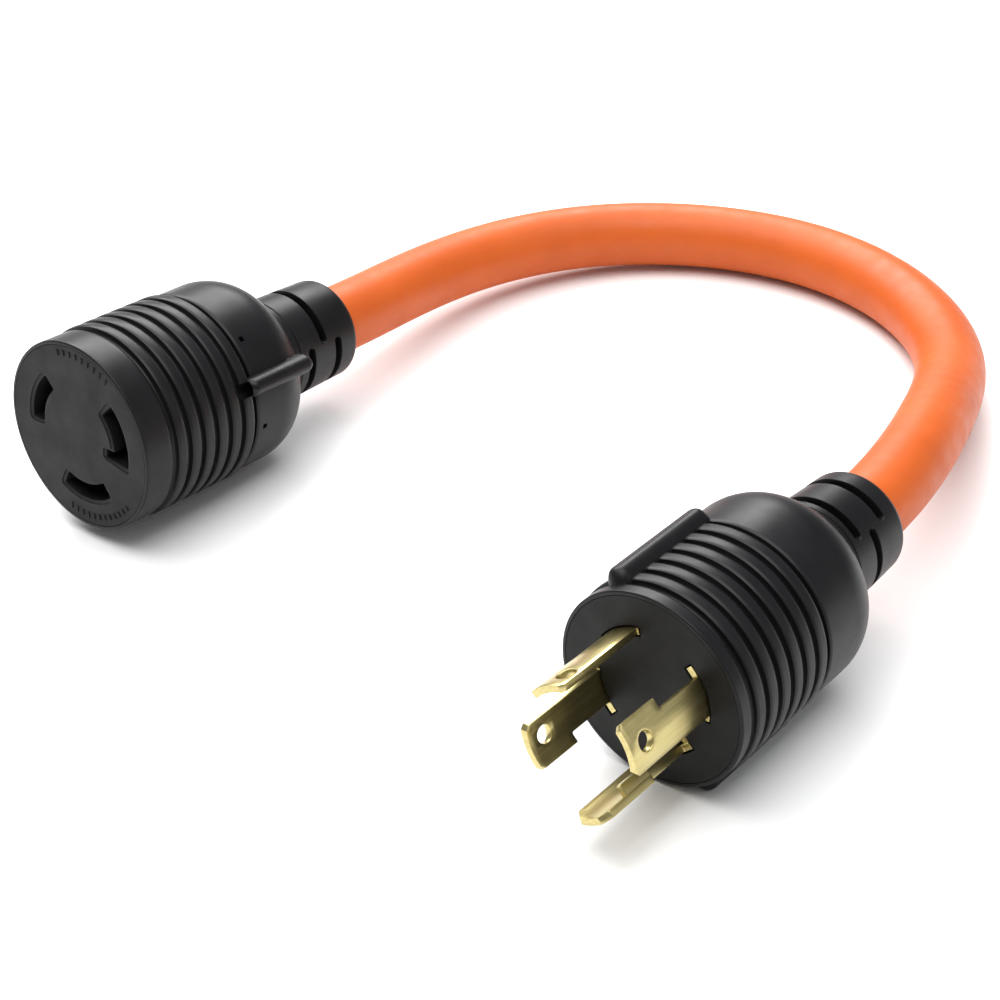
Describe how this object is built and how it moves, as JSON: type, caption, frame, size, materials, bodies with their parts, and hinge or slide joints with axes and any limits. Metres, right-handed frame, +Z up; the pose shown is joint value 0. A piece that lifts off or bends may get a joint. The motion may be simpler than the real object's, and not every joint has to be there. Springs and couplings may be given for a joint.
{
  "type": "power adapter dogbone",
  "caption": "Short stiff orange cord joining a black locking plug with curved brass blades to a black locking connector with curved slots, for camper and generator power.",
  "frame": {"origin": "middle of the bottom of the box round the two housings, on the surface that the adapter lies on; the cord is left out of that box", "axes": "+X from the connector to the plug, +Y from both faces back towards the cord's loop, +Z up"},
  "size_m": [0.1997, 0.229, 0.0484],
  "materials": {
    "housing_vinyl": "satin black vinyl",
    "face_plastic": "dull black, fine moulded grain",
    "inner_mould": "dull grey filling",
    "brass": "plain stamped brass",
    "cord_vinyl": "satin orange vinyl",
    "wire_black": "satin",
    "wire_white": "satin",
    "wire_green": "satin",
    "copper": "bare stranded copper",
    "filler": "twisted paper"
  },
  "bodies": {
    "root": {"plug_body": "housing_vinyl", "plug_face": "face_plastic", "blade_holder": "face_plastic", "plug_inner_mould": "inner_mould", "plug_strain_relief": "housing_vinyl", "hot_x_blade": "brass", "hot_y_blade": "brass", "neutral_blade": "brass", "ground_blade": "brass", "connector_body": "housing_vinyl", "connector_face": "face_plastic", "contact_carrier": "face_plastic", "carrier_cap": "face_plastic", "connector_inner_mould": "inner_mould", "connector_strain_relief": "housing_vinyl", "hot_x_contact": "brass", "hot_y_contact": "brass", "ground_contact": "brass", "cord_jacket": "cord_vinyl", "ground_insulation": "wire_green", "hot_x_insulation": "wire_black", "hot_y_insulation": "wire_white", "ground_copper": "copper", "hot_x_copper": "copper", "hot_y_copper": "copper", "filler_1": "filler", "filler_2": "filler", "filler_3": "filler"}
  },
  "joints": []
}
